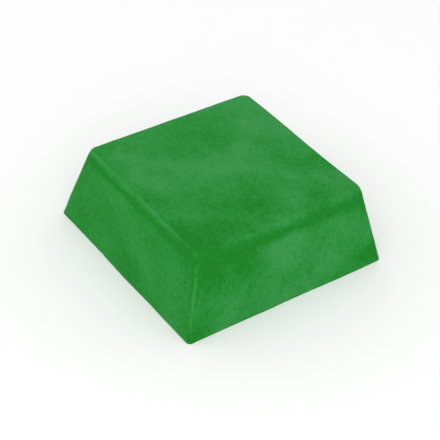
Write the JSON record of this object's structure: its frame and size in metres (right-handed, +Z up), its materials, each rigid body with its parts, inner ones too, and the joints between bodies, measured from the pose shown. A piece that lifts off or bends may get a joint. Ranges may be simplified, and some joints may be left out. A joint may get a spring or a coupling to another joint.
{
  "type": "cue chalk block",
  "caption": "Solid block of green cue chalk: a low square frustum with a flat base, tapered sides, rounded top edges and a smaller flat top face that is rubbed on a cue tip.",
  "frame": {"origin": "centre of the square base, on the surface that the block rests on", "axes": "+Z up through the centre of the top face; +X and +Y square to two neighbouring sides"},
  "size_m": [0.033, 0.033, 0.0121],
  "materials": {
    "chalk": "dry matt pressed chalk, pigmented green right through, with a faint waxy bloom"
  },
  "bodies": {
    "root": {"chalk_block": "chalk"}
  },
  "joints": []
}
